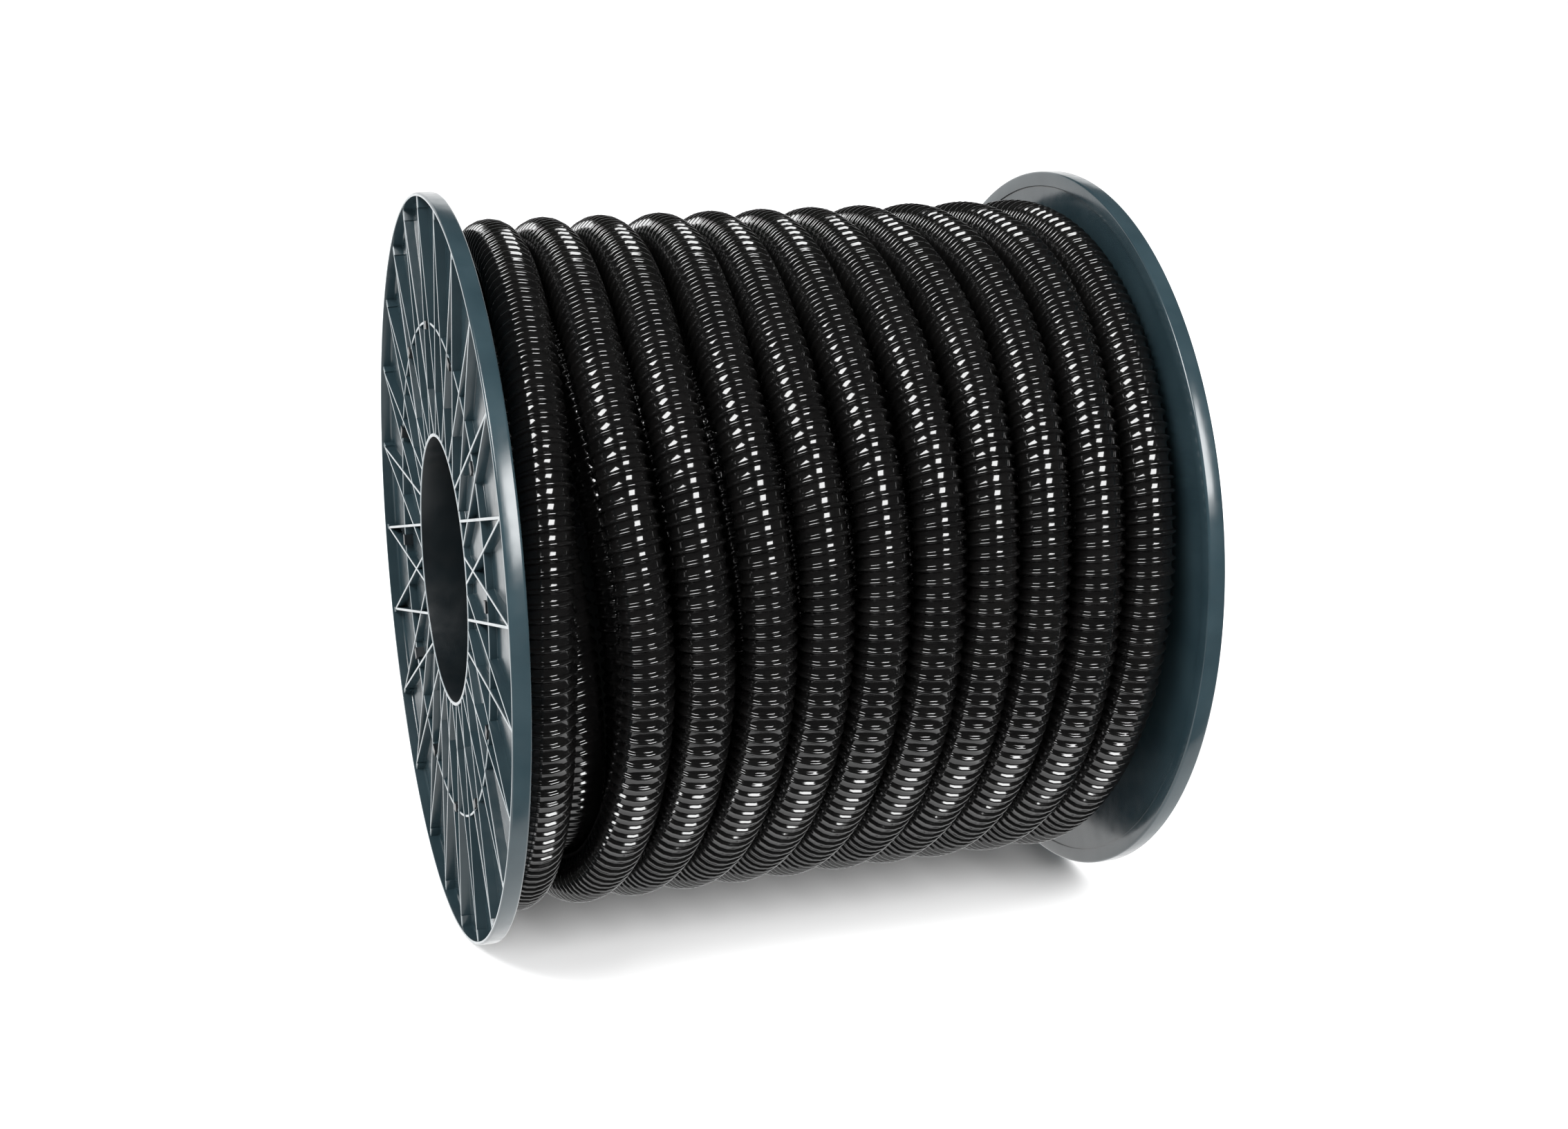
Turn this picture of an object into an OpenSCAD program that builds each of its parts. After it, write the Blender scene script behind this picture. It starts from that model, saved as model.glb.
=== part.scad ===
// Corrugated vacuum hose wound in two layers on a moulded plastic reel.
// The reel stands on both rims with its axle line along X. The origin is on the
// floor, midway between the flanges and under the axle line.

/* [Reel] */
// Outside diameter of both flanges
reel_d = 600; // [560:5:640]
// Overall width, from one flange's outer face to the other's
reel_w = 545; // [545:5:560]
// Axial width of a flange's rim
rim_w = 14; // [12:0.5:16]
// Thickness of the rim at its lip
rim_t = 3; // [2.5:0.5:4]
// Thickness of the flange's web
web_t = 2.5; // [2:0.5:4]
// How far the rim stands proud of the web on the hose side
rim_proud = 1.5; // [1:0.5:2]

/* [Hub] */
// Diameter of the spindle hole
hub_bore_d = 214; // [200:2:220]
// Wall of the hub ring
hub_t = 3; // [2:0.5:4]
// How far the hub collar reaches into the core, from the web
collar_len = 30; // [20:5:60]
// How deep the hub ring's top lies below the lip
hub_drop = 4.5; // [3:0.5:6]

/* [Ribs] */
// Number of V ribs around a flange
rib_count = 24; // [24:12:24]
// Thickness of a rib
rib_t = 2.4; // [2:0.2:3]
// Angle from a V's point to where each leg meets the hub ring
rib_swing = 12.8; // [10:0.2:14]
// Angle of the first V's point above the horizontal
rib_phase = 8; // [0:0.5:15]
// How deep the ribs' tops lie below the lip at the rim
rib_drop = 1.8; // [1:0.2:3]

/* [Barrel] */
// Outside diameter of the barrel that the hose is wound on
barrel_d = 394; // [390:1:396]
// Wall of a barrel stave
stave_t = 4; // [3:0.5:5]
// Number of staves that make the barrel
stave_count = 6; // [6:1:6]
// Width of a stave's snap tongue
tongue_w = 9; // [8:1:14]

/* [Hose] */
// Outside diameter of the hose, over its ribs
hose_od = 43; // [42:0.5:43.5]
// Number of turns side by side in the outer layer
turn_count = 11; // [11:1:11]
// Radius of the outer layer's centreline
outer_layer_r = 256; // [252:1:256]

/* [Ties] */
// Width of a cable tie's band
tie_w = 7.6; // [4.8:0.4:9]
// Thickness of a cable tie's band
tie_t = 1.6; // [1.2:0.2:2]

/* [Hidden] */

reel_r = reel_d / 2;
hub_r = hub_bore_d / 2;
barrel_r = barrel_d / 2;
hose_r = hose_od / 2;
// Height of the web's two faces, counted from the lip towards the hose
web_in = rim_w - rim_proud;
web_out = web_in - web_t;
// Inside width between the two webs
inside_w = reel_w - 2 * web_in;
// The ring that the staves' tongues hook over
mid_ring_t = 2.2;
mid_drop = 3.8;
// The seat ring inside the barrel, on the hose side of the web
seat_t = 3;
seat_h = 9;
seat_gap = 0.3;
// The V's points end just short of the rim's wall
rib_tip_r = reel_r - rim_t - 8;
rib_step = 360 / rib_count;
tongue_step = 2 * rib_step;
tongue_phase = rib_phase + rib_step;
tongue_play = 0.3;
tongue_hook = 2.5;
stave_gap = 0.4;
stave_angle = 360 / stave_count;
// Layers of the winding, face to face
inner_layer_r = barrel_r + hose_r;
layer_split_r = (inner_layer_r + outer_layer_r) / 2;
turn_pitch = 44.3;
first_turn_x = hose_r - inside_w / 2;
// The grooves between the outer turns end this far past their centres
groove_floor = 6;
// The last part of a turn lies against the right flange and ends here
hose_end_angle = 40;
last_turn_spread = 115;
last_turn_x = inside_w / 2 - hose_r - 2.4;
// The tie at the inner end passes through two slots in one stave
inner_tie_angle = 225;
inner_tie_x = inside_w / 2 - hose_r - 12;
slot_play = 0.4;
// The ties at the outer end hold the last two turns together
outer_tie_angles = [55, 75];
tie_slack = 0.4;
outer_tie_x = last_turn_x - hose_r - tie_slack;
tie_head = [11, 9, 6];

plastic_color = [0.17, 0.22, 0.25];
hose_color = [0.05, 0.05, 0.05];
tie_color = [0.02, 0.02, 0.02];

// Turns a shape made about Z into one about the reel's own axle line.
module on_axle() {
    translate([0, 0, reel_r])
        rotate([0, 90, 0])
            children();
}

// A ring of rectangular section between two radii and two heights.
module ring(r_in, r_out, z_low, z_high) {
    rotate_extrude($fn = 180)
        translate([r_in, z_low])
            square([r_out - r_in, z_high - z_low]);
}

// One leg of a V rib, seen from outside the flange.
module rib_leg(point_angle, side) {
    hub_angle = point_angle + side * rib_swing;
    from = rib_tip_r * [cos(point_angle), sin(point_angle)];
    to = (hub_r + hub_t / 2) * [cos(hub_angle), sin(hub_angle)];
    run = to - from;
    translate(from)
        rotate(atan2(run[1], run[0]))
            translate([0, -rib_t / 2])
                square([norm(run), rib_t]);
}

// The short web that carries each V's point on to the rim.
module rib_root(point_angle) {
    rotate(point_angle)
        translate([rib_tip_r - 1, -rib_t])
            square([reel_r - rim_t / 2 - rib_tip_r + 1, 2 * rib_t]);
}

module rib_pattern() {
    for (i = [0 : rib_count - 1]) {
        rib_leg(rib_phase + i * rib_step, 1);
        rib_leg(rib_phase + i * rib_step, -1);
        rib_root(rib_phase + i * rib_step);
    }
}

// The space above the ribs, whose tops sink from the rim to the hub.
module above_ribs() {
    rotate_extrude($fn = 180)
        polygon([
            [0, -1],
            [reel_r, -1],
            [reel_r, rib_drop],
            [rib_tip_r, rib_drop],
            [hub_r, hub_drop],
            [0, hub_drop]
        ]);
}

// The rim, with a rounded outer corner on both edges.
module rim_section() {
    corner = 2;
    translate([reel_r - rim_t, corner])
        square([rim_t, rim_w - 2 * corner]);
    translate([reel_r - rim_t, 0])
        square([rim_t - corner, rim_w]);
    for (z = [corner, rim_w - corner])
        translate([reel_r - corner, z])
            circle(r = corner, $fn = 32);
}

// The slots in the web that the staves' tongues pass through.
module tongue_slots() {
    for (i = [0 : 360 / tongue_step - 1])
        rotate(tongue_phase + i * tongue_step)
            translate([barrel_r - stave_t - tongue_play, -tongue_w / 2 - tongue_play, web_out - 1])
                cube([stave_t + tongue_play, tongue_w + 2 * tongue_play, web_t + 2]);
}

// One flange, lip at Z 0 and hose side up.
module flange() {
    color(plastic_color)
        difference() {
            union() {
                rotate_extrude($fn = 180)
                    rim_section();
                ring(hub_r, reel_r - rim_t / 2, web_out, web_in);
                ring(reel_r - rim_t - 9, reel_r - rim_t / 2, web_in - 0.5, rim_w);
                ring(hub_r, hub_r + hub_t, hub_drop, web_in + collar_len);
                ring(barrel_r, barrel_r + mid_ring_t, mid_drop, web_out + 0.5);
                ring(
                    barrel_r - stave_t - seat_gap - seat_t,
                    barrel_r - stave_t - seat_gap,
                    web_in - 0.5,
                    web_in + seat_h
                );
                difference() {
                    translate([0, 0, rib_drop / 2])
                        linear_extrude(height = web_out + 0.5 - rib_drop / 2)
                            difference() {
                                rib_pattern();
                                circle(r = hub_r + hub_t / 2, $fn = 180);
                            }
                    above_ribs();
                }
            }
            tongue_slots();
        }
}

module flange_left() {
    translate([-reel_w / 2, 0, 0])
        on_axle()
            flange();
}

// The same moulding turned end for end, and turned to line its slots up.
module flange_right() {
    translate([reel_w / 2, 0, 0])
        on_axle()
            rotate([180, 0, 0])
                rotate([0, 0, -2 * tongue_phase])
                    flange();
}

// An arc of a ring, centred on an angle.
module arc_ring(r_in, r_out, length, centre, spread) {
    translate([0, 0, -length / 2])
        rotate([0, 0, centre - spread / 2])
            rotate_extrude(angle = spread, $fn = 180)
                translate([r_in, 0])
                    square([r_out - r_in, length]);
}

// A tongue and its hook at one end of a stave.
module tongue(angle) {
    tongue_len = web_in - mid_drop + 1.5;
    rotate([0, 0, angle])
        translate([barrel_r - stave_t, -tongue_w / 2, inside_w / 2 - 0.5]) {
            cube([stave_t - tongue_play, tongue_w, tongue_len + 0.5]);
            translate([0, 0, tongue_len - 1])
                cube([stave_t + tongue_hook, tongue_w, 1.5]);
        }
}

// Slots that let the tie at the hose's inner end pass around the stave's wall.
module inner_tie_slots() {
    slot = [3 * stave_t, tie_w + 2 * slot_play, tie_t + 2 * slot_play];
    for (side = [-1, 1])
        translate([barrel_r - stave_t / 2, 0, inner_tie_x + side * (hose_r + tie_t / 2)])
            cube(slot, center = true);
}

module barrel_stave(i) {
    middle = tongue_phase + rib_step + (i - 1) * stave_angle;
    color(plastic_color)
        on_axle()
            difference() {
                union() {
                    arc_ring(
                        barrel_r - stave_t, barrel_r, inside_w,
                        middle, stave_angle - stave_gap
                    );
                    for (end = [0, 1])
                        mirror([0, 0, end])
                            for (side = [-1, 1])
                                tongue(middle + side * rib_step);
                }
                rotate([0, 0, inner_tie_angle])
                    inner_tie_slots();
            }
}

// The outline of a band around two hoses whose centres are span apart.
function pair_points(r, span, n = 24) = concat(
    [for (i = [0 : n]) [span / 2 + r * sin(180 * i / n), r * cos(180 * i / n)]],
    [for (i = [0 : n]) [-span / 2 - r * sin(180 * i / n), -r * cos(180 * i / n)]]
);

// The outline of a band over one hose and down past the wall below it.
function arch_points(r, depth, n = 24) = concat(
    [for (i = [0 : n]) [r * cos(180 * i / n), r * sin(180 * i / n)]],
    [[-r, -depth], [r, -depth]]
);

// A band between two outlines, in the plane of X and Z.
module band(outside, inside, grow) {
    rotate([90, 0, 0])
        translate([0, 0, -tie_w / 2 - grow])
            linear_extrude(height = tie_w + 2 * grow)
                difference() {
                    polygon(outside);
                    polygon(inside);
                }
}

// Puts a tie on the winding at an angle around the axle line.
module at_winding(angle, x, r) {
    on_axle()
        rotate([0, 0, angle])
            translate([r, 0, x])
                rotate([0, 90, 0])
                    children();
}

module outer_end_tie(i, grow = 0) {
    span = hose_od + 2 * tie_slack;
    outside = pair_points(hose_r + tie_t + grow, span);
    inside = pair_points(hose_r - grow, span);
    color(tie_color)
        at_winding(outer_tie_angles[i - 1], outer_tie_x, outer_layer_r) {
            band(outside, inside, grow);
            translate([0, 0, hose_r + tie_t / 2 + tie_head[2] / 2])
                cube(tie_head + 2 * grow * [1, 1, 1], center = true);
        }
}

module inner_end_tie(grow = 0) {
    outside = arch_points(hose_r + tie_t + grow, hose_r + stave_t + tie_t + grow);
    inside = arch_points(hose_r - grow, hose_r + stave_t - grow);
    color(tie_color)
        at_winding(inner_tie_angle, inner_tie_x, inner_layer_r)
            band(outside, inside, grow);
}

// The closed outer shape of the second layer, one bead for each turn.
module outer_layer_section() {
    translate([layer_split_r, -inside_w / 2])
        square([outer_layer_r + groove_floor - layer_split_r, inside_w]);
    for (i = [0 : turn_count - 1])
        translate([outer_layer_r, first_turn_x + i * turn_pitch])
            circle(r = hose_r, $fn = 48);
}

// The part of a turn that ends against the right flange.
module last_turn() {
    rotate([0, 0, hose_end_angle])
        rotate_extrude(angle = last_turn_spread, $fn = 180)
            translate([outer_layer_r, last_turn_x])
                circle(r = hose_r, $fn = 48);
}

module hose_outer_layer() {
    color(hose_color)
        difference() {
            on_axle() {
                rotate_extrude($fn = 180)
                    outer_layer_section();
                last_turn();
            }
            outer_end_tie(1, 0.05);
            outer_end_tie(2, 0.05);
        }
}

module hose_inner_layer() {
    color(hose_color)
        difference() {
            on_axle()
                ring(barrel_r, layer_split_r, -inside_w / 2, inside_w / 2);
            outer_end_tie(1, 0.05);
            outer_end_tie(2, 0.05);
            inner_end_tie(0.05);
        }
}

flange_left();
flange_right();
barrel_stave(1);  // barrel_stave_1
barrel_stave(2);  // barrel_stave_2
barrel_stave(3);  // barrel_stave_3
barrel_stave(4);  // barrel_stave_4
barrel_stave(5);  // barrel_stave_5
barrel_stave(6);  // barrel_stave_6
hose_inner_layer();
hose_outer_layer();
inner_end_tie();
outer_end_tie(1);  // outer_end_tie_1
outer_end_tie(2);  // outer_end_tie_2
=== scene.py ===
# Corrugated vacuum hose wound in two layers on a moulded plastic reel that stands on its rims.
# Each piece follows in the order in which the reel is put together and wound.
import math

import bpy
import numpy as np
from mathutils import Matrix, Vector


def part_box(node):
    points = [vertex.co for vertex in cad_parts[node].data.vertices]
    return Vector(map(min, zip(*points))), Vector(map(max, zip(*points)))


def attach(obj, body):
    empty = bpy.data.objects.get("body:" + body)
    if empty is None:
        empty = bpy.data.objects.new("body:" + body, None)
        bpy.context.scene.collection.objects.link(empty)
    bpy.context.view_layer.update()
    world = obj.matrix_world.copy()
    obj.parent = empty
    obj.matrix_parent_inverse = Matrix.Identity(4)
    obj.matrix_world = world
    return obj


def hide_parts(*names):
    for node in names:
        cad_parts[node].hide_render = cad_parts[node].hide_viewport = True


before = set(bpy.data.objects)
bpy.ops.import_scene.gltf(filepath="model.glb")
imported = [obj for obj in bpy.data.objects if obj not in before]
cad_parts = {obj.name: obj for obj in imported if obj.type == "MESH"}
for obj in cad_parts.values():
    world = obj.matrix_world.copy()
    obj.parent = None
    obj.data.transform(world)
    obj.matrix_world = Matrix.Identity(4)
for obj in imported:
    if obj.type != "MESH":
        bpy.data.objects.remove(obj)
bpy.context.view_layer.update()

# ---------------------------------------------------------------- viewpoint
# A long lens, a little above the reel and to its left. Its own directions, to its right, back
# from the reel and up, follow from the two angles.
left_lo, left_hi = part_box("flange_left")
REEL_R = (left_hi.z - left_lo.z) / 2
HALF_W = -left_lo.x
REEL_MIDDLE = Vector((0.0, 0.0, REEL_R))
VIEW_AROUND, VIEW_ABOVE = math.radians(-18.051), math.radians(15.475)
VIEW_RIGHT = Vector((math.cos(VIEW_AROUND), math.sin(VIEW_AROUND), 0))
LEVEL_BACK = Vector((math.sin(VIEW_AROUND), -math.cos(VIEW_AROUND), 0))
VIEW_BACK = LEVEL_BACK * math.cos(VIEW_ABOVE) + Vector((0, 0, math.sin(VIEW_ABOVE)))
VIEW_UP = VIEW_BACK.cross(VIEW_RIGHT)
VIEW_DISTANCE = 1.884
VIEW_ASIDE, VIEW_RAISE = 0.01956, -0.01791
LENS_MM, SENSOR_MM = 51.49, 36.0

camera_data = bpy.data.cameras.new("camera")
camera_data.lens = LENS_MM
camera_data.sensor_width = SENSOR_MM
camera = bpy.data.objects.new("camera", camera_data)
bpy.context.scene.collection.objects.link(camera)
camera.matrix_world = Matrix.Translation(
    REEL_MIDDLE + VIEW_BACK * VIEW_DISTANCE + VIEW_RIGHT * VIEW_ASIDE + VIEW_UP * VIEW_RAISE
) @ Matrix((VIEW_RIGHT, VIEW_UP, VIEW_BACK)).transposed().to_4x4()
bpy.context.scene.camera = camera

# ---------------------------------------------------------------- hose
# One length of black spiral-corrugated hose, extruded in glossy plastic. It is wound from the
# right flange across to the left one on top, steps down there, and runs back underneath to the
# right flange. Ties hold both of its ends.
HOSE_OD = 0.043
HOSE_BORE = 0.036
RIB_PITCH = 0.00985
OUTER_LAYER_R = 0.256
BARREL_R = 0.197
# The inner layer is pressed flat by the turns over it
FLAT_HEIGHT, FLAT_WIDTH = 0.0375, 0.0443
INNER_LAYER_R = BARREL_R + FLAT_HEIGHT / 2
WEB_X = 0.260
FLUSH_X = WEB_X - HOSE_OD / 2
# Where each outer turn lies at its top and its bottom, from the right flange to the left one
TURN_TOPS = [
    0.2245, 0.1823, 0.1391, 0.0959, 0.0525, 0.0097, -0.0335, -0.0768, -0.1261, -0.1730, -0.2163]
TURN_BOTTOMS = [
    0.2027, 0.1585, 0.1105, 0.0675, 0.0243, -0.0219, -0.0651, -0.1081, -0.1519, -0.1951, -FLUSH_X]
# On the front each turn bulges to the right, higher up on the turns nearer the right flange.
# The angles run from the top of the reel over its front.
BULGE = 0.019
BULGE_RISE, BULGE_END = 65, 200
BULGE_LATEST, BULGE_STEP, BULGE_POWER = 70, 10, 1.3
# The last outer turn steps down to the inner layer on its way up the back
STEP_DOWN_FROM, STEP_DOWN_TURN = 162, 198
# The free end lies against the right flange, tied to the turn beside it
END_ANGLE, TIED_FROM, TIED_TO = -140, -135, -95
END_X, TIED_NEXT_X, TIED_THIRD_X = 0.2361, 0.1923, 0.1491
# The inner layer shifts across by one turn on the front of each lap
INNER_LAPS = 10
INNER_TIE_ANGLE, INNER_TIE_X = 45, 0.2265
INNER_TAIL = 12
# The route is laid out a little past both ends and its corners are eased over this many degrees
SPARE, EASED_OVER = 20, 33
# One pitch runs from the crest of a narrow rounded rib, down its steep flank, across a nearly
# flat floor and up to the next crest. Half of it, as shares of the pitch and slopes in degrees:
CREST_R = 0.0215
HALF_PITCH = [(0.0, 0), (0.06, 26), (0.125, 60), (0.195, 60), (0.297, 9), (0.5, 0)]
RING_PLACES = [place for place, slope in HALF_PITCH]
RING_PLACES += [1 - place for place in RING_PLACES[-2:0:-1]]
SEGMENTS = 20
PROFILE_STEPS = 100
BORE_SHOWN = 0.09


def ease(t):
    """A smooth step from 0 to 1."""
    t = np.clip(t, 0.0, 1.0)
    return t * t * (3 - 2 * t)


def skin_section(place):
    """The skin's radius and rise at a place between two crests."""
    off = min(place, 1 - place)
    steps = np.linspace(0, off, PROFILE_STEPS + 1)
    rises = np.tan(np.radians(np.interp(steps, *zip(*HALF_PITCH))))
    drop = RIB_PITCH * off / PROFILE_STEPS * (rises[1:] + rises[:-1]).sum() / 2
    return CREST_R - drop, rises[-1] * (-1 if place < 0.5 else 1)


def winding_route():
    """The hose's centreline as points, and how far it is down in the flattened inner layer."""
    marks = [(END_ANGLE - SPARE, END_X), (TIED_TO, END_X)]
    for lap, (top, bottom) in enumerate(zip(TURN_TOPS, TURN_BOTTOMS)):
        marks += [(360 * lap, top), (360 * lap + 180, bottom)]
        if lap == 0:
            marks += [(360 + TIED_FROM, TIED_NEXT_X), (360 + TIED_TO, TIED_NEXT_X)]
        if lap == 1:
            marks += [(720 + TIED_FROM, TIED_THIRD_X)]
    last_lap = 360 * (len(TURN_TOPS) - 1)
    marks.insert(-1, (last_lap + 90, -FLUSH_X))
    down_end = last_lap + 360
    marks += [(down_end, -FLUSH_X)]
    inner_end = down_end + 360 * INNER_LAPS + INNER_TIE_ANGLE + INNER_TAIL
    angle = np.arange(END_ANGLE - SPARE, inner_end + SPARE + 1, 1.0)
    marks.sort()
    x = np.interp(angle, [m[0] for m in marks], [m[1] for m in marks])
    pitch = (INNER_TIE_X + FLUSH_X) / (INNER_LAPS + ease(INNER_TIE_ANGLE / 180))
    lap, turned = np.divmod(angle - down_end, 360)
    x = np.where(angle > down_end, -FLUSH_X + pitch * (lap + ease(turned / 180)), x)
    for turn in range(len(TURN_TOPS) - 1):
        middle = BULGE_LATEST * math.sin(math.radians(BULGE_STEP * turn)) ** BULGE_POWER
        turned = angle - 360 * turn
        peak = middle + BULGE_RISE / 2
        swell = ease((turned - middle) / BULGE_RISE + 0.5)
        sink = ease((BULGE_END - turned) / (BULGE_END - peak))
        x = x + BULGE * swell * sink
    x = np.minimum(x, FLUSH_X)
    fall = np.clip((angle - last_lap - STEP_DOWN_FROM) / STEP_DOWN_TURN, 0, 1)
    flat = np.sin(fall * math.pi / 2)
    window = np.hanning(EASED_OVER)
    window /= window.sum()
    x = np.convolve(np.pad(x, EASED_OVER // 2, mode="edge"), window, "valid")
    flat = np.convolve(np.pad(flat, EASED_OVER // 2, mode="edge"), window, "valid")
    kept = (angle >= END_ANGLE) & (angle <= inner_end)
    angle, x, flat = np.radians(angle[kept]), x[kept], flat[kept]
    r = OUTER_LAYER_R + (INNER_LAYER_R - OUTER_LAYER_R) * flat
    return np.stack([x, -r * np.sin(angle), REEL_R + r * np.cos(angle)], 1), flat


route, flatness = winding_route()
steps = np.linalg.norm(np.diff(route, axis=0), axis=1)
route_s = np.concatenate([[0], np.cumsum(steps)])
HOSE_LENGTH = float(route_s[-1])
route_t = np.gradient(route, route_s, axis=0)


def along_hose(s):
    """Centre, outward and sideways directions and flatness at distances along the hose."""
    centre = np.stack([np.interp(s, route_s, route[:, k]) for k in range(3)], -1)
    t = np.stack([np.interp(s, route_s, route_t[:, k]) for k in range(3)], -1)
    t /= np.linalg.norm(t, axis=-1, keepdims=True)
    out = centre - np.array(REEL_MIDDLE)
    out[..., 0] = 0
    out -= (out * t).sum(-1, keepdims=True) * t
    out /= np.linalg.norm(out, axis=-1, keepdims=True)
    return centre, t, out, np.cross(t, out), np.interp(s, route_s, flatness)


def hose_skin(s, around, r, rise):
    """Points on the skin and its outward directions there."""
    centre, t, out, side, flat = along_hose(s)
    tall = 1 + flat * (FLAT_HEIGHT / HOSE_OD - 1)
    wide = 1 + flat * (FLAT_WIDTH / HOSE_OD - 1)
    points = centre + (out * (tall * r * np.cos(around))[..., None]
                       + side * (wide * r * np.sin(around))[..., None])
    facing = out * (np.cos(around) / tall)[..., None] + side * (np.sin(around) / wide)[..., None]
    facing /= np.linalg.norm(facing, axis=-1, keepdims=True)
    facing -= t * (rise / (1 + r * np.cos(around) / OUTER_LAYER_R))[..., None]
    return points, facing / np.linalg.norm(facing, axis=-1, keepdims=True)


def mesh_object(name, points, faces):
    """A mesh from points and a list of faces, or of arrays of faces with one length each."""
    mesh = bpy.data.meshes.new(name)
    arrays = [np.asarray(f, np.int32) for f in faces if len(f)]
    loops = np.concatenate([a.ravel() for a in arrays])
    sizes = np.concatenate([np.full(len(a), a.shape[1], np.int32) for a in arrays])
    mesh.vertices.add(len(points))
    mesh.vertices.foreach_set("co", np.asarray(points, np.float32).ravel())
    mesh.loops.add(len(loops))
    mesh.loops.foreach_set("vertex_index", loops)
    mesh.polygons.add(len(sizes))
    starts = np.concatenate([[0], np.cumsum(sizes)[:-1]])
    mesh.polygons.foreach_set("loop_start", starts.astype(np.int32))
    mesh.polygons.foreach_set("use_smooth", np.ones(len(sizes), bool))
    mesh.update(calc_edges=True)
    mesh.validate()
    obj = bpy.data.objects.new(name, mesh)
    bpy.context.scene.collection.objects.link(obj)
    return obj


def corrugated_hose():
    """The ribbed skin from end to end, with both cut ends open to the bore."""
    per, n = len(RING_PLACES), SEGMENTS
    sections = [skin_section(u) for u in RING_PLACES]
    pitches = int(HOSE_LENGTH / RIB_PITCH) + 3
    ring_s = (np.repeat(np.arange(-1, pitches), per) + np.tile(RING_PLACES, pitches + 1)) * RIB_PITCH
    ring_r = np.tile([c[0] for c in sections], pitches + 1)
    ring_rise = np.tile([c[1] for c in sections], pitches + 1)
    j = np.arange(n)
    around = 2 * math.pi * j / n
    # A rib climbs one pitch in going round, so each ring of points does too
    s = ring_s[:, None] + RIB_PITCH * j / n
    points, facing = hose_skin(
        np.clip(s, 0, HOSE_LENGTH), np.broadcast_to(around, s.shape),
        np.broadcast_to(ring_r[:, None], s.shape), np.broadcast_to(ring_rise[:, None], s.shape))
    points, facing = [points.reshape(-1, 3)], [facing.reshape(-1, 3)]
    ids = np.arange(s.size).reshape(s.shape)
    ends = []
    for end_s, inward, beyond in ((0.0, 1, s <= 0), (HOSE_LENGTH, -1, s >= HOSE_LENGTH)):
        skin_r = np.array([skin_section((end_s / RIB_PITCH - k / n) % 1.0)[0] for k in j])
        bore_r = np.full(n, HOSE_BORE / 2)
        first = s.size + 3 * n * len(ends)
        ids = np.where(beyond, first + j[None, :], ids)
        for at, r in ((end_s, skin_r), (end_s, bore_r), (end_s + inward * BORE_SHOWN, bore_r)):
            ring, out = hose_skin(np.full(n, at), around, r, np.zeros(n))
            points.append(ring)
            facing.append(out)
        ends.append(first)
    a, b = ids[:-per - 1], ids[1:-per]
    a_next = np.concatenate([a[:, 1:], ids[per:-1, :1]], 1)
    b_next = np.concatenate([b[:, 1:], ids[per + 1:, :1]], 1)
    quads = np.stack([a, a_next, b_next, b], -1).reshape(-1, 4)
    closed = np.stack([quads[:, k] == quads[:, (k + 1) % 4] for k in range(4)]).any(0)
    tris = [list(dict.fromkeys(q)) for q in quads[closed].tolist()]
    tris = [t for t in tris if len(t) == 3]
    quads = quads[~closed]
    walls = []
    for first, turn in zip(ends, (1, -1)):
        for k in range(2):
            for q in range(n):
                p, p2 = first + k * n + q, first + k * n + (q + 1) % n
                walls.append([p, p + n, p2 + n, p2][::turn])
    caps = [[first + 2 * n + q for q in range(n)][::turn] for first, turn in zip(ends, (1, -1))]
    obj = mesh_object("vacuum_hose", np.concatenate(points), [quads, tris, walls, caps])
    mesh = obj.data
    # The skin shades as the true curve between its rings, and the cut ends stay flat
    corners = np.zeros(len(mesh.loops), np.int32)
    mesh.loops.foreach_get("vertex_index", corners)
    shade = np.concatenate(facing)[corners]
    flat_from = 4 * len(quads) + 3 * len(tris)
    face_normals = np.zeros(len(mesh.polygons) * 3, np.float32)
    mesh.polygons.foreach_get("normal", face_normals)
    sizes = np.array([4] * len(walls) + [n] * len(caps))
    shade[flat_from:] = np.repeat(face_normals.reshape(-1, 3)[len(quads) + len(tris):], sizes, axis=0)
    normals = mesh.attributes.new("custom_normal", "FLOAT_VECTOR", "CORNER")
    normals.data.foreach_set("vector", shade.astype(np.float32).ravel())
    return obj


hose = corrugated_hose()


def noise_bump(nodes, links, surface, where, size, depth, detail=3.0, under=None):
    """Fine unevenness of a moulded or extruded skin, one bump over another."""
    noise = nodes.new("ShaderNodeTexNoise")
    noise.inputs["Scale"].default_value = 1 / size
    noise.inputs["Detail"].default_value = detail
    bump = nodes.new("ShaderNodeBump")
    bump.inputs["Distance"].default_value = depth
    bump.inputs["Strength"].default_value = 1.0
    links.new(where, noise.inputs["Vector"])
    links.new(noise.outputs["Fac"], bump.inputs["Height"])
    if under is not None:
        links.new(under, bump.inputs["Normal"])
    links.new(bump.outputs["Normal"], surface.inputs["Normal"])
    return bump.outputs["Normal"]


def spread_by_noise(nodes, links, where, size, low, high, detail=4.0):
    """A value that wanders between two ends across the surface."""
    noise = nodes.new("ShaderNodeTexNoise")
    noise.inputs["Scale"].default_value = 1 / size
    noise.inputs["Detail"].default_value = detail
    ramp = nodes.new("ShaderNodeMapRange")
    ramp.inputs["From Min"].default_value = 0.3
    ramp.inputs["From Max"].default_value = 0.7
    ramp.inputs["To Min"].default_value = low
    ramp.inputs["To Max"].default_value = high
    links.new(where, noise.inputs["Vector"])
    links.new(noise.outputs["Fac"], ramp.inputs["Value"])
    return ramp.outputs["Result"]


def new_material(name):
    """A material with its nodes, links, surface node and the place on the object."""
    material = bpy.data.materials.new(name)
    material.use_nodes = True
    nodes, links = material.node_tree.nodes, material.node_tree.links
    surface = nodes["Principled BSDF"]
    where = nodes.new("ShaderNodeTexCoord").outputs["Object"]
    return material, nodes, links, surface, where


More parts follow.
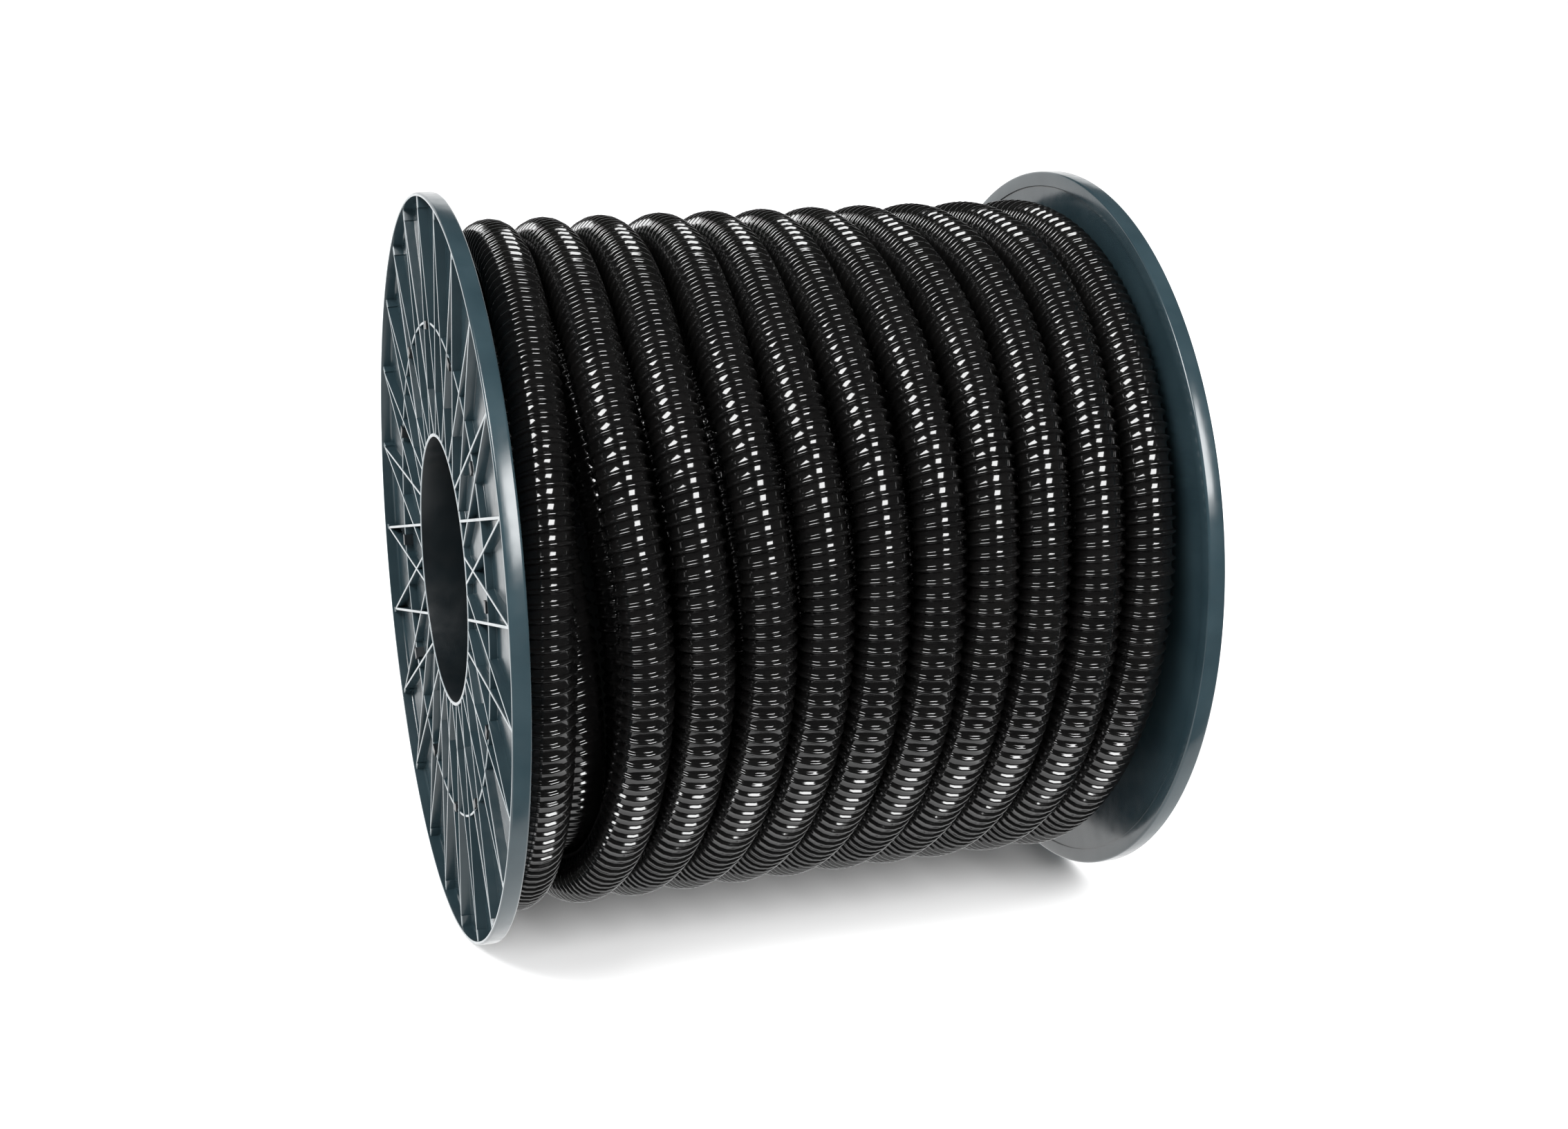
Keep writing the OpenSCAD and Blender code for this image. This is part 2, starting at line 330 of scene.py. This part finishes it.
def mixed_colour(nodes, links, amount, one, two):
    """A colour between two, by an amount that wanders."""
    mix = nodes.new("ShaderNodeMix")
    mix.data_type = "RGBA"
    mix.inputs["A"].default_value = (*one, 1)
    mix.inputs["B"].default_value = (*two, 1)
    links.new(amount, mix.inputs["Factor"])
    return mix.outputs["Result"]


def hose_rubber():
    """Glossy black, hardly mottled, with the slight waviness of an extruded skin."""
    material, nodes, links, surface, where = new_material("hose_gloss_black")
    fade = spread_by_noise(nodes, links, where, 0.02, 0.0, 1.0)
    links.new(mixed_colour(nodes, links, fade, (0.0018, 0.0018, 0.0018), (0.0032, 0.0031, 0.0030)),
              surface.inputs["Base Color"])
    links.new(spread_by_noise(nodes, links, where, 0.006, 0.07, 0.12), surface.inputs["Roughness"])
    surface.inputs["Specular IOR Level"].default_value = 0.6
    wavy = noise_bump(nodes, links, surface, where, 0.006, 0.00003, 1.0)
    noise_bump(nodes, links, surface, where, 0.0009, 0.000002, 2.0, wavy)
    return material


hose.data.materials.append(hose_rubber())
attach(hose, "root")
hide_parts("hose_inner_layer", "hose_outer_layer")
hose_line = along_hose(np.arange(0, HOSE_LENGTH, RIB_PITCH))[0]
hose_line = np.concatenate([hose_line, route[-1:]])

# ---------------------------------------------------------------- flanges
# Two identical flanges, injection moulded in slate blue-grey polypropylene and set end for end.
# Each is a thin web with a deep rim, 24 V ribs on its outer face and a ring around the spindle
# hole. Raised tops facing out get a lighter painted highlight; the collar's bore gets painted shade.
RIM_W, RIM_T = 0.014, 0.003
WEB_OUT, WEB_IN = 0.010, 0.0125
RIM_PAD_R = REEL_R - 0.012
HUB_R, HUB_T, HUB_TOP, COLLAR_END = 0.107, 0.003, 0.0045, 0.0425
SEAT_R, SEAT_T, SEAT_END = 0.1927, 0.003, 0.0215
HOOK_RING_R, HOOK_RING_T, HOOK_RING_TOP = BARREL_R, 0.0022, 0.0038
FILLET_STEPS = 4
DIVISIONS = 240
FIRST_DIVISION = 0.5
SLOT_ANGLE, SLOT_STEP, SLOT_HALF = 23, 30, 1.5
RIB_TIP_R, RIB_TIP_TOP = 0.289, 0.0018
RIB_COUNT, RIB_PHASE, RIB_SWING, RIB_W = 24, 8, 12.8, 0.0024
RIB_STATIONS, RIB_ROUND = 6, 0.0007
FOOT_SUNK, FOOT_HIGH, FOOT_OUT = 0.0003, 0.0008, 0.0005
# Faces this close to the outer face, and facing this far outward, get the painted highlight colour
HIGHLIGHT_DEPTH, HIGHLIGHT_FACING = HUB_TOP + 0.0006, 0.5
SHARP_ANGLE = 38


def rounded_outline(corners):
    """A closed outline from corners given as (r, z, radius)."""
    points = []
    for k, (r, z, radius) in enumerate(corners):
        here = np.array([r, z])
        back = np.array(corners[k - 1][:2]) - here
        on = np.array(corners[(k + 1) % len(corners)][:2]) - here
        back, on = back / np.linalg.norm(back), on / np.linalg.norm(on)
        if radius == 0:
            points.append(here)
            continue
        half = math.acos(np.clip(back @ on, -1, 1)) / 2
        middle = here + (back + on) / np.linalg.norm(back + on) * radius / math.sin(half)
        for turn in np.linspace(-1, 1, FILLET_STEPS + 1):
            sweep = turn * (math.pi / 2 - half)
            axis = (here - middle) / np.linalg.norm(here - middle)
            side = (on - back) / np.linalg.norm(on - back)
            points.append(middle + radius * (axis * math.cos(sweep) + side * math.sin(sweep)))
    return np.array(points)


def loft(rings, closed=False):
    """A skin over a row of rings, each of which runs anticlockwise about the way ahead."""
    ids = np.arange(rings.shape[0] * rings.shape[1]).reshape(rings.shape[:2])
    here, ahead = (ids, np.roll(ids, -1, 0)) if closed else (ids[:-1], ids[1:])
    quads = np.stack([here, np.roll(here, -1, 1), np.roll(ahead, -1, 1), ahead], -1).reshape(-1, 4)
    caps = [] if closed else [ids[0][::-1], ids[-1]]
    return rings.reshape(-1, 3), [quads, caps]


def merged(parts):
    """The points and faces of several skins as one set."""
    points, faces, first = [], [], 0
    for part_points, part_faces in parts:
        points.append(part_points)
        faces += [np.asarray(f) + first for f in part_faces if len(f)]
        first += len(part_points)
    return np.concatenate(points), faces


def flange_shell():
    """Rim, web, rings and collar in one turned shape, with slots through the web."""
    # Each corner has its radius from the reel's axis, its depth and the radius of its rounding
    corners = [
        (REEL_R, 0, 0.002), (REEL_R, RIM_W, 0.002),
        (RIM_PAD_R, RIM_W, 0.0006), (RIM_PAD_R, WEB_IN, 0.0006),
        (HOOK_RING_R, WEB_IN, 0), (SEAT_R, WEB_IN, 0),
        (SEAT_R, SEAT_END, 0.0008), (SEAT_R - SEAT_T, SEAT_END, 0.0008),
        (SEAT_R - SEAT_T, WEB_IN, 0.0006),
        (HUB_R + HUB_T, WEB_IN, 0.0008), (HUB_R + HUB_T, COLLAR_END, 0.0008),
        (HUB_R, COLLAR_END, 0.0008), (HUB_R, HUB_TOP, 0.0009),
        (HUB_R + HUB_T, HUB_TOP, 0.0009), (HUB_R + HUB_T, WEB_OUT, 0.0010),
        (SEAT_R, WEB_OUT, 0), (HOOK_RING_R, WEB_OUT, 0),
        (HOOK_RING_R, HOOK_RING_TOP, 0.0007), (HOOK_RING_R + HOOK_RING_T, HOOK_RING_TOP, 0.0007),
        (HOOK_RING_R + HOOK_RING_T, WEB_OUT, 0.0008),
        (REEL_R - RIM_T, WEB_OUT, 0.0022), (REEL_R - RIM_T, 0, 0.0006),
    ]
    outline = rounded_outline(corners)
    angle = np.radians(FIRST_DIVISION + 360 / DIVISIONS * np.arange(DIVISIONS))
    points = np.stack([outline[:, None, 0] * np.cos(angle), outline[:, None, 0] * np.sin(angle),
                       np.broadcast_to(outline[:, None, 1], (len(outline), DIVISIONS))], -1)
    ids = np.arange(points.shape[0] * DIVISIONS).reshape(points.shape[:2])

    def at(r, z):
        return int(np.argmin(np.hypot(outline[:, 0] - r, outline[:, 1] - z)))

    in_out, out_out = at(SEAT_R, WEB_OUT), at(HOOK_RING_R, WEB_OUT)
    out_in, in_in = at(HOOK_RING_R, WEB_IN), at(SEAT_R, WEB_IN)
    per_division = 360 / DIVISIONS
    middles = [round((slot - FIRST_DIVISION) / per_division)
               for slot in range(SLOT_ANGLE, SLOT_ANGLE + 360, SLOT_STEP)]
    reach = round(SLOT_HALF / per_division)
    open_at = {(m + k) % DIVISIONS for m in middles for k in range(-reach, reach)}
    faces = []
    for j in range(len(outline)):
        j2 = (j + 1) % len(outline)
        for i in range(DIVISIONS):
            i2 = (i + 1) % DIVISIONS
            if i in open_at and j in (in_out, out_in):
                continue
            faces.append([ids[j, i], ids[j, i2], ids[j2, i2], ids[j2, i]])
    for i in open_at:
        i2 = (i + 1) % DIVISIONS
        faces.append([ids[in_out, i], ids[in_out, i2], ids[in_in, i2], ids[in_in, i]])
        faces.append([ids[out_in, i], ids[out_in, i2], ids[out_out, i2], ids[out_out, i]])
    for m in middles:
        for i, turn in (((m - reach) % DIVISIONS, -1), ((m + reach) % DIVISIONS, 1)):
            faces.append([ids[in_out, i], ids[out_out, i], ids[out_in, i], ids[in_in, i]][::turn])
    return points.reshape(-1, 3), [faces]


def rib_top(r):
    """The depth of a rib's top, which slopes from the rim to the hub."""
    inward = np.clip((RIB_TIP_R - r) / (RIB_TIP_R - HUB_R), 0, 1)
    return RIB_TIP_TOP + (HUB_TOP - RIB_TIP_TOP) * inward


def rib(start, end, half):
    """A rib from one place on the web to another, with a rounded top and a flared foot."""
    start, end = np.array(start), np.array(end)
    ahead = (end - start) / np.linalg.norm(end - start)
    across = np.array([-ahead[1], ahead[0]])
    rings = []
    for t in np.linspace(0, 1, RIB_STATIONS):
        place = start + (end - start) * t
        top = rib_top(np.linalg.norm(place))
        side = [(half + FOOT_OUT, WEB_OUT + FOOT_SUNK), (half + FOOT_OUT / 5, WEB_OUT - FOOT_HIGH),
                (half, top + RIB_ROUND), (0.85 * half, top + RIB_ROUND * 2 / 7), (0.5 * half, top)]
        outline = [(-u, z) for u, z in side] + side[::-1]
        rings.append([[*(place + across * u), z] for u, z in outline])
    return loft(np.array(rings))


def polar(r, degrees):
    """A place on the flange's face."""
    return r * math.cos(math.radians(degrees)), r * math.sin(math.radians(degrees))


def flange_mesh():
    """The shell with two ribs from each point near the rim, and a short wide block behind it."""
    parts = [flange_shell()]
    for k in range(RIB_COUNT):
        point = RIB_PHASE + k * 360 / RIB_COUNT
        for side in (-1, 1):
            foot = polar(HUB_R + HUB_T / 2, point + side * RIB_SWING)
            parts.append(rib(polar(RIB_TIP_R, point), foot, RIB_W / 2))
        parts.append(rib(polar(REEL_R - RIM_T / 2, point), polar(RIB_TIP_R - 0.001, point), RIB_W))
    return merged(parts)


def on_left(points):
    """The moulding stood up with its ribbed face to the left."""
    return np.stack([points[:, 2] - HALF_W, points[:, 1], REEL_R - points[:, 0]], 1)


def on_right(points):
    """The same moulding turned end for end, and round until its slots face the other's."""
    turn = math.radians(-2 * SLOT_ANGLE)
    x = points[:, 0] * math.cos(turn) - points[:, 1] * math.sin(turn)
    y = points[:, 0] * math.sin(turn) + points[:, 1] * math.cos(turn)
    return np.stack([HALF_W - points[:, 2], -y, REEL_R - x], 1)


def crisp(obj):
    """Keeps its edges sharp between smooth faces."""
    obj.data.set_sharp_from_angle(angle=math.radians(SHARP_ANGLE))


def reel_plastic(name, dark, light, smooth, rough):
    """Moulded polypropylene, slightly mottled, with a fine grain and a slow waviness."""
    material, nodes, links, surface, where = new_material(name)
    fade = spread_by_noise(nodes, links, where, 0.05, 0.0, 1.0)
    links.new(mixed_colour(nodes, links, fade, dark, light), surface.inputs["Base Color"])
    links.new(spread_by_noise(nodes, links, where, 0.012, smooth, rough), surface.inputs["Roughness"])
    grain = noise_bump(nodes, links, surface, where, 0.0012, 0.000006, 2.0)
    noise_bump(nodes, links, surface, where, 0.03, 0.0003, 1.0, grain)
    return material


slate_plastic = reel_plastic(
    "slate_plastic", dark=(0.0105, 0.0205, 0.0255), light=(0.017, 0.030, 0.036), smooth=0.16, rough=0.24)
# Painted highlight: a lighter colour on the raised tops that face out, for the light they catch
painted_highlight = reel_plastic(
    "painted_highlight", dark=(0.10, 0.125, 0.135), light=(0.17, 0.19, 0.20), smooth=0.12, rough=0.2)
# Painted shade: near black for the shaded inside of the barrel and of the collar's bore
barrel_painted_shade = reel_plastic(
    "barrel_painted_shade", dark=(0.003, 0.005, 0.006), light=(0.005, 0.008, 0.010), smooth=0.3, rough=0.42)
flange_points, flange_faces = flange_mesh()
for side, place in (("left", on_left), ("right", on_right)):
    flange = mesh_object(f"reel_flange_{side}", place(flange_points), flange_faces)
    crisp(flange)
    flange.data.materials.append(slate_plastic)
    flange.data.materials.append(painted_highlight)
    flange.data.materials.append(barrel_painted_shade)
    for face in flange.data.polygons:
        deep = HALF_W - abs(face.center.x)
        outward = face.normal.x * (1 if side == "right" else -1)
        r = math.hypot(face.center.y, face.center.z - REEL_R)
        # Outward faces near the outer face get the painted highlight
        if deep < HIGHLIGHT_DEPTH and outward > HIGHLIGHT_FACING and r < REEL_R - 0.001:
            face.material_index = flange.data.materials.find("painted_highlight")
        # Faces inside the hub hole get the painted shade
        elif r < HUB_R + 0.001:
            face.material_index = flange.data.materials.find("barrel_painted_shade")
    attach(flange, "root")
    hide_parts(f"flange_{side}")

# ---------------------------------------------------------------- barrel staves
# Six curved staves of the same plastic make the barrel, coloured near black as painted shade for
# the shaded inside. Their tongues pass through the flanges' slots and hook over a thin ring there.
STAVE_COUNT = 6
for k in range(1, STAVE_COUNT + 1):
    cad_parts[f"barrel_stave_{k}"].data.materials[0] = barrel_painted_shade

# ---------------------------------------------------------------- ties
# Black nylon cable ties: two hold the free end to the turn beside it, and one holds the inner
# end down on the barrel through two slots in a stave. Their tails are cut short.
TIE_W, TIE_T = 0.0076, 0.0016
OUTER_TIE_ANGLES = (-125, -105)
TURN_GAP = 0.0008
OUTER_TIE_X = END_X - (HOSE_OD + TURN_GAP) / 2
STAVE_T = 0.004
TIE_CORNER = 0.0004
TIE_HEAD, HEAD_CORNER = (0.011, 0.009, 0.006), 0.0016
# How far the head's sides draw in at heights above its foot and below its top
HEAD_FOOT = [(0, 0.0008), (0.0002, 0.0003), (0.0008, 0)]
HEAD_CROWN = [(0.0012, 0), (0.0004, 0.0004), (0, 0.0012)]
TIE_TAIL, TAIL_UP, TAIL_CURL, TAIL_STATIONS = 0.014, 0.0032, 0.004, 6
BEND_STATIONS = 25


def rounded_rectangle(wide, high, corner):
    """Eight points around a rectangle with its corners taken off."""
    a, b = wide / 2, high / 2
    return [(a, -b + corner), (a, b - corner), (a - corner, b), (-a + corner, b),
            (-a, b - corner), (-a, -b + corner), (-a + corner, -b), (a - corner, -b)]


def tie_band(path, out_ways, closed):
    """A flat band along a path of (sideways, outward) places."""
    rings = []
    for place, way in zip(path, out_ways):
        rings.append([[*(np.array(place) + np.array(way) * u), v]
                      for u, v in rounded_rectangle(TIE_T, TIE_W, TIE_CORNER)])
    return loft(np.array(rings)[:, ::-1], closed)


def tie_head():
    """The locking head, a block with rounded edges."""
    wide, long, tall = TIE_HEAD
    rings = []
    for up, inset in HEAD_FOOT + [(tall - down, inset) for down, inset in HEAD_CROWN]:
        around = rounded_rectangle(wide - 2 * inset, long - 2 * inset, HEAD_CORNER)
        rings.append([[x, up, y] for x, y in around[::-1]])
    return loft(np.array(rings))


def place_tie(name, node, parts, angle, x, r):
    """Puts a tie made in (sideways, outward, along) directions on the winding."""
    points, faces = merged(parts)
    turn = math.radians(angle)
    out = np.array([0, -math.sin(turn), math.cos(turn)])
    along = np.array([0, math.cos(turn), math.sin(turn)])
    middle = np.array([x, 0, REEL_R]) + out * r
    sideways = np.array([1, 0, 0])
    world = middle + points[:, :1] * sideways + points[:, 1:2] * out + points[:, 2:] * along
    tie = mesh_object(name, world, faces)
    crisp(tie)
    tie.data.materials.append(nylon)
    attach(tie, "root")
    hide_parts(node)


def tie_nylon():
    """Black nylon with a dull moulded grain."""
    material, nodes, links, surface, where = new_material("tie_nylon")
    fade = spread_by_noise(nodes, links, where, 0.01, 0.0, 1.0)
    links.new(mixed_colour(nodes, links, fade, (0.012, 0.012, 0.012), (0.018, 0.018, 0.018)),
              surface.inputs["Base Color"])
    links.new(spread_by_noise(nodes, links, where, 0.004, 0.38, 0.5), surface.inputs["Roughness"])
    noise_bump(nodes, links, surface, where, 0.0008, 0.00002)
    return material


nylon = tie_nylon()
reach = (HOSE_OD + TIE_T) / 2
apart = HOSE_OD + TURN_GAP
half_turn = np.radians(np.linspace(-90, 90, BEND_STATIONS))
oval, oval_ways = [], []
for side in (1, -1):
    for a in half_turn:
        way = (side * math.cos(a), side * math.sin(a))
        oval.append((side * apart / 2 + reach * way[0], reach * way[1]))
        oval_ways.append(way)
tail_start = TIE_HEAD[0] / 2 - 0.001
tail = [(tail_start + TIE_TAIL * t, reach + TAIL_UP + TAIL_CURL * t * t)
        for t in np.linspace(0, 1, TAIL_STATIONS)]
head_points, head_faces = tie_head()
head_points = head_points + np.array([0, reach + TIE_T / 2 - 0.0001, 0])
for k, angle in enumerate(OUTER_TIE_ANGLES, 1):
    parts = [tie_band(oval, oval_ways, True), tie_band(tail, [(0, 1)] * TAIL_STATIONS, False),
             (head_points, head_faces)]
    place_tie(f"free_end_tie_{k}", f"outer_end_tie_{k}", parts, angle, OUTER_TIE_X, OUTER_LAYER_R)

arch_high = (FLAT_HEIGHT + TIE_T) / 2
leg = -FLAT_HEIGHT / 2 - STAVE_T - TIE_T / 2
arch_ways = [(math.cos(a), math.sin(a)) for a in np.radians(np.linspace(0, 180, BEND_STATIONS))]
arch = [(reach * u, arch_high * v) for u, v in arch_ways]
arch += [(-reach, leg + 0.001), (-reach + 0.001, leg), (reach - 0.001, leg), (reach, leg + 0.001)]
arch_ways += [(-1, 0), (0, -1), (0, -1), (1, 0)]
place_tie("inner_tie", "inner_end_tie", [tie_band(arch, arch_ways, True)],
          INNER_TIE_ANGLE, INNER_TIE_X, INNER_LAYER_R)

# ---------------------------------------------------------------- floor and light
# A plain pale floor, with a large soft light in front and a wide one high on the left. A pale
# glow from the floor and from behind shows only in the gloss.
FLOOR_HALF = 30.0


def stage_sheet(name, corners):
    """A sheet that belongs to the studio and not to the reel."""
    sheet = mesh_object(name, corners, [[[0, 1, 2, 3]]])
    return sheet


floor = stage_sheet("floor", [(-FLOOR_HALF, -FLOOR_HALF, 0), (FLOOR_HALF, -FLOOR_HALF, 0),
                              (FLOOR_HALF, FLOOR_HALF, 0), (-FLOOR_HALF, FLOOR_HALF, 0)])
floor_paint = bpy.data.materials.new("floor_paint")
floor_paint.use_nodes = True
floor_surface = floor_paint.node_tree.nodes["Principled BSDF"]
floor_surface.inputs["Base Color"].default_value = (0.9, 0.9, 0.9, 1)
floor_surface.inputs["Roughness"].default_value = 0.9
floor.data.materials.append(floor_paint)
floor.visible_glossy = False

# What the gloss sees of the pale floor and of a pale wall behind
FLOOR_FRONT, WALL_Y, WALL_HIGH, GLOW_HALF, GLOW = -0.37, 5.0, 3.2, 14.0, 1.5


def glow_sheet(name, low, high):
    """An upright or level strip that only reflections see."""
    (y1, z1), (y2, z2) = low, high
    sheet = stage_sheet(name, [(-GLOW_HALF, y1, z1), (GLOW_HALF, y1, z1),
                               (GLOW_HALF, y2, z2), (-GLOW_HALF, y2, z2)])
    paint = bpy.data.materials.new(name)
    paint.use_nodes = True
    paint.cycles.emission_sampling = "NONE"
    nodes, links = paint.node_tree.nodes, paint.node_tree.links
    emit = nodes.new("ShaderNodeEmission")
    emit.inputs["Strength"].default_value = GLOW
    links.new(emit.outputs["Emission"], nodes["Material Output"].inputs["Surface"])
    sheet.data.materials.append(paint)
    sheet.visible_camera = False
    sheet.visible_diffuse = False
    sheet.visible_shadow = False
    sheet.visible_transmission = False


glow_sheet("floor_glow", (FLOOR_FRONT, -0.001), (WALL_Y, -0.001))
glow_sheet("wall_glow", (WALL_Y, 0), (WALL_Y, WALL_HIGH))

LIGHT_DISTANCE, LIGHT_RADIANCE = 6, 18


def soft_light(name, direction, wide, high):
    """A soft box that faces the reel."""
    data = bpy.data.lights.new(name, "AREA")
    data.shape = "RECTANGLE"
    data.size, data.size_y = wide, high
    data.energy = LIGHT_RADIANCE * math.pi * wide * high
    light = bpy.data.objects.new(name, data)
    toward = Vector(direction).normalized()
    light.location = REEL_MIDDLE + toward * LIGHT_DISTANCE
    light.rotation_mode = "QUATERNION"
    light.rotation_quaternion = toward.to_track_quat("Z", "Y")
    light.visible_camera = False
    bpy.context.scene.collection.objects.link(light)


soft_light("key_light", (0.262, -0.828, 0.496), 2.6, 2.9)
soft_light("side_light", (-0.595, -0.356, 0.721), 3.8, 2.2)

world = bpy.data.worlds.new("studio")
bpy.context.scene.world = world
world.use_nodes = True
backdrop = world.node_tree.nodes["Background"]
backdrop.inputs["Color"].default_value = (1, 1, 1, 1)
# Bright for the floor and for soft shade, and faint in the gloss
SKY, SKY_IN_GLOSS = 1.25, 0.05
ray = world.node_tree.nodes.new("ShaderNodeLightPath")
level = world.node_tree.nodes.new("ShaderNodeMapRange")
level.inputs["To Min"].default_value = SKY
level.inputs["To Max"].default_value = SKY_IN_GLOSS
world.node_tree.links.new(ray.outputs["Is Glossy Ray"], level.inputs["Value"])
world.node_tree.links.new(level.outputs["Result"], backdrop.inputs["Strength"])
bpy.context.scene.view_settings.view_transform = "Standard"
